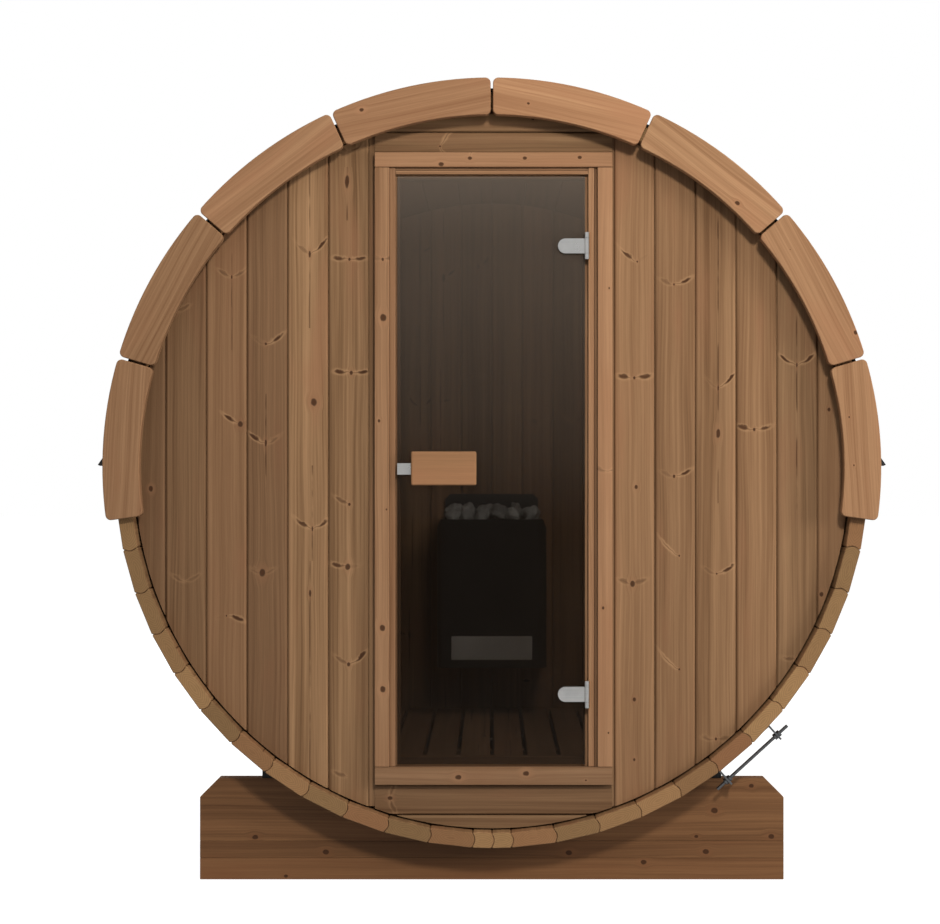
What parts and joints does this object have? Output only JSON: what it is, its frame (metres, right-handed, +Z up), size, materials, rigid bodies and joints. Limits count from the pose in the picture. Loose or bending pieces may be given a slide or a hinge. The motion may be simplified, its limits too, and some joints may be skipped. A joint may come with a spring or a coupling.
{
  "type": "barrel sauna",
  "caption": "Barrel sauna of timber staves on two cradles, with boarded ends, a tinted glass door that swings, a shingled roof with arched trims and a wall-hung heater.",
  "frame": {"origin": "on the ground, under the middle of the barrel", "axes": "+Z up, +Y from the door towards the back wall, +X to the right seen from the door side"},
  "size_m": [2.0888, 1.8566, 2.1438],
  "materials": {
    "stave_wood": "oiled, sawn ends",
    "wall_boards": "planed tongue and groove boards, knotty",
    "frame_wood": "planed",
    "satin_steel": "satin",
    "bronze_glass": "bronze tinted, polished",
    "handle_wood": "planed, eased edges",
    "trim_wood": "planed, eased edges",
    "shingles": "mineral granules",
    "black_metal": "satin black",
    "band_steel": "satin, slightly dull",
    "cradle_wood": "sawn and oiled",
    "black_rubber": "matte",
    "floor_wood": "planed",
    "stones": "rough split"
  },
  "bodies": {
    "cabin": {"staves_bottom": "stave_wood", "staves_left_1": "stave_wood", "staves_left_2": "stave_wood", "staves_left_3": "stave_wood", "staves_left_4": "stave_wood", "staves_right_1": "stave_wood", "staves_right_2": "stave_wood", "staves_right_3": "stave_wood", "staves_right_4": "stave_wood", "front_wall_left": "wall_boards", "front_wall_right": "wall_boards", "front_wall_over_door": "wall_boards", "front_wall_under_door": "wall_boards", "back_wall": "wall_boards", "door_jamb_left": "frame_wood", "door_jamb_right": "frame_wood", "door_head": "frame_wood", "door_sill": "frame_wood", "door_lining": "frame_wood", "door_stops": "frame_wood", "hinge_plates": "satin_steel", "front_trims_left": "trim_wood", "front_trims_right": "trim_wood", "back_trims": "trim_wood", "roof_cover": "shingles", "drip_edges": "black_metal", "steel_bands": "band_steel", "band_tensioners": "band_steel", "cradle_front": "cradle_wood", "cradle_back": "cradle_wood", "cradle_chocks": "black_rubber", "floor_slats": "floor_wood", "floor_bearers": "floor_wood", "heater_body": "black_metal", "heater_guard": "black_metal", "heater_panel": "satin_steel", "heater_stones": "stones", "heater_brackets": "black_metal"},
    "door": {"door_glass": "bronze_glass", "hinge_clamps": "satin_steel", "door_handle_outer": "handle_wood", "door_handle_inner": "handle_wood", "door_latch": "satin_steel"}
  },
  "joints": [
    {"name": "door_swing", "type": "hinge", "parent": "cabin", "child": "door", "pos_m": [0.253, -0.885, 1.1], "axis": [0, 0, 1], "range_deg": [0, 110]}
  ]
}
